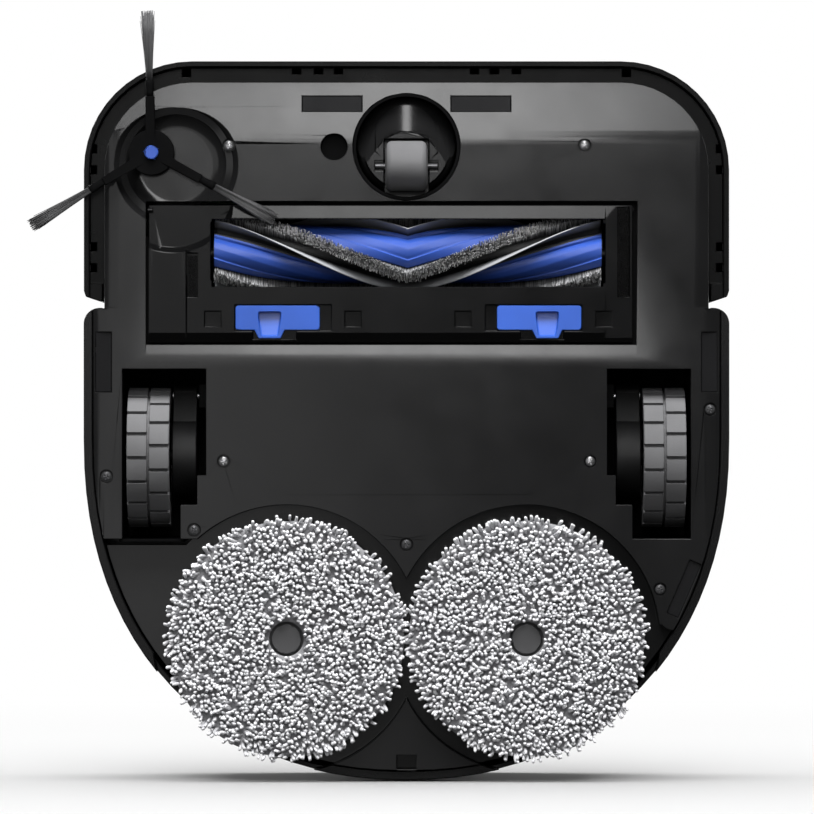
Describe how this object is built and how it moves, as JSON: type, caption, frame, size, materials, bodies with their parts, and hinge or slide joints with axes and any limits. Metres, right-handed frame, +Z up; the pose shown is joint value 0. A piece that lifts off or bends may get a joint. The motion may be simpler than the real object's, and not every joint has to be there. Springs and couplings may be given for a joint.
{
  "type": "robot vacuum",
  "caption": "D-shaped robot vacuum with front bumper, roller brush behind a latched guard, side brush, drive wheels, caster and rotary mop pads.",
  "frame": {"origin": "middle of the whole robot's box on the floor, side brush included", "axes": "+Z up, the bumper faces -Y, +X is to the left of a robot that drives along -Y"},
  "size_m": [0.3502, 0.3837, 0.095],
  "materials": {
    "black_shell": "satin gloss moulded black",
    "black_plastic": "fine texture",
    "blue_plastic": "satin",
    "grey_plastic": "moulded",
    "smoked_window": "polished",
    "steel": "zinc plated",
    "tyre_rubber": "soft ribbed rubber",
    "caster_rubber": "smooth",
    "brush_rubber": "smooth",
    "bristle": "nylon bristle",
    "mop_fabric": "chenille yarn",
    "filter_media": "pleated paper",
    "circuit_board": "solder mask",
    "battery_wrap": "shrink wrap"
  },
  "bodies": {
    "body": {"chassis": "black_shell", "rear_shell": "black_shell", "top_shell": "black_shell", "cliff_windows": "smoked_window", "silver_screws": "steel", "dark_screws": "steel", "carpet_sensor": "black_plastic", "caster_socket": "black_shell", "brush_housing": "black_plastic", "brush_bearing": "black_plastic", "brush_drive": "black_plastic", "side_brush_motor": "grey_plastic", "battery": "battery_wrap", "main_board": "circuit_board", "suction_fan": "black_plastic", "air_duct": "black_plastic", "wheel_housing_left": "black_plastic", "wheel_housing_right": "black_plastic", "pivot_pins": "steel", "charging_contacts": "steel", "guide_rods": "steel", "lift_motor": "grey_plastic", "water_tank": "grey_plastic", "range_sensor": "black_plastic", "suspension_spring_left": "steel", "suspension_spring_right": "steel"},
    "bumper": {"bumper": "black_shell", "bumper_window": "smoked_window"},
    "power_button": {"power_button": "grey_plastic"},
    "top_cover": {"top_cover": "black_shell"},
    "dust_bin": {"dust_bin": "smoked_window", "bin_lid": "black_plastic", "bin_filter": "filter_media"},
    "fan_impeller": {"fan_impeller": "grey_plastic"},
    "arm_left": {"wheel_arm_left": "black_plastic"},
    "arm_right": {"wheel_arm_right": "black_plastic"},
    "wheel_left": {"wheel_hub_left": "black_plastic", "tyre_left": "tyre_rubber"},
    "wheel_right": {"wheel_hub_right": "black_plastic", "tyre_right": "tyre_rubber"},
    "caster_fork": {"caster_fork": "black_shell", "caster_axle": "steel"},
    "caster_wheel": {"caster_wheel": "caster_rubber"},
    "brush_guard": {"brush_guard": "black_shell", "guard_bristles": "brush_rubber"},
    "latch_left": {"latch_left": "blue_plastic"},
    "latch_right": {"latch_right": "blue_plastic"},
    "roller": {"brush_core": "blue_plastic", "brush_bristles": "bristle", "brush_blades": "brush_rubber"},
    "side_brush": {"side_brush": "brush_rubber", "side_brush_cap": "blue_plastic", "side_brush_tufts": "bristle"},
    "mop_carriage": {"mop_carriage": "black_plastic", "mop_motors": "grey_plastic"},
    "mop_left": {"mop_plate_left": "black_plastic", "mop_pad_left": "mop_fabric"},
    "mop_right": {"mop_plate_right": "black_plastic", "mop_pad_right": "mop_fabric"}
  },
  "joints": [
    {"name": "bumper_press", "type": "slide", "parent": "body", "child": "bumper", "axis": [0, 1, 0], "range_m": [0, 0.003], "stiffness_N_per_m": 300, "springref_m": -0.004},
    {"name": "power_button_press", "type": "slide", "parent": "body", "child": "power_button", "axis": [0, 0, -1], "range_m": [0, 0.0012], "stiffness_N_per_m": 500, "springref_m": -0.001},
    {"name": "top_cover_lift", "type": "slide", "parent": "body", "child": "top_cover", "axis": [0, 0, 1], "range_m": [0, 0.16]},
    {"name": "dust_bin_lift", "type": "slide", "parent": "body", "child": "dust_bin", "axis": [0, 0, 1], "range_m": [0, 0.08]},
    {"name": "fan_spin", "type": "hinge", "parent": "body", "child": "fan_impeller", "pos_m": [0.0141, 0.09634, 0.07], "axis": [0, 0, 1], "continuous": true},
    {"name": "suspension_left", "type": "hinge", "parent": "body", "child": "arm_left", "pos_m": [-0.09689, 0.00034, 0.04], "axis": [1, 0, 0], "range_deg": [-15, 15], "stiffness_Nm_per_rad": 0.63, "springref_deg": -17.19, "deforming": ["suspension_spring_left"]},
    {"name": "suspension_right", "type": "hinge", "parent": "body", "child": "arm_right", "pos_m": [0.1251, 0.00034, 0.04], "axis": [1, 0, 0], "range_deg": [-15, 15], "stiffness_Nm_per_rad": 0.63, "springref_deg": -17.19, "deforming": ["suspension_spring_right"]},
    {"name": "wheel_left_spin", "type": "hinge", "parent": "arm_left", "child": "wheel_left", "pos_m": [-0.1146, 0.03114, 0.035], "axis": [1, 0, 0], "continuous": true},
    {"name": "wheel_right_spin", "type": "hinge", "parent": "arm_right", "child": "wheel_right", "pos_m": [0.1428, 0.03114, 0.035], "axis": [1, 0, 0], "continuous": true},
    {"name": "caster_swivel", "type": "hinge", "parent": "body", "child": "caster_fork", "pos_m": [0.0141, -0.12386, 0.03], "axis": [0, 0, 1], "continuous": true},
    {"name": "caster_roll", "type": "hinge", "parent": "caster_fork", "child": "caster_wheel", "pos_m": [0.0141, -0.11436, 0.0125], "axis": [1, 0, 0], "continuous": true},
    {"name": "guard_open", "type": "hinge", "parent": "body", "child": "brush_guard", "pos_m": [0.0141, -0.09226, 0.0092], "axis": [-1, 0, 0], "range_deg": [0, 70], "deforming": ["side_brush_tufts"]},
    {"name": "latch_left_slide", "type": "slide", "parent": "brush_guard", "child": "latch_left", "axis": [1, 0, 0], "range_m": [0, 0.005]},
    {"name": "latch_right_slide", "type": "slide", "parent": "brush_guard", "child": "latch_right", "axis": [-1, 0, 0], "range_m": [0, 0.005]},
    {"name": "roller_spin", "type": "hinge", "parent": "body", "child": "roller", "pos_m": [0.0141, -0.07066, 0.0228], "axis": [1, 0, 0], "continuous": true},
    {"name": "side_brush_spin", "type": "hinge", "parent": "body", "child": "side_brush", "pos_m": [-0.11289, -0.12086, 0.01], "axis": [0, 0, 1], "continuous": true},
    {"name": "mop_lift", "type": "slide", "parent": "body", "child": "mop_carriage", "axis": [0, 0, 1], "range_m": [0, 0.01]},
    {"name": "mop_left_spin", "type": "hinge", "parent": "mop_carriage", "child": "mop_left", "pos_m": [-0.04564, 0.12134, 0.02], "axis": [0, 0, 1], "continuous": true},
    {"name": "mop_right_spin", "type": "hinge", "parent": "mop_carriage", "child": "mop_right", "pos_m": [0.07386, 0.12134, 0.02], "axis": [0, 0, 1], "continuous": true}
  ],
  "couplings": [
    {"joint": "dust_bin_lift", "follows": "top_cover_lift", "ratio": 0.5}
  ]
}
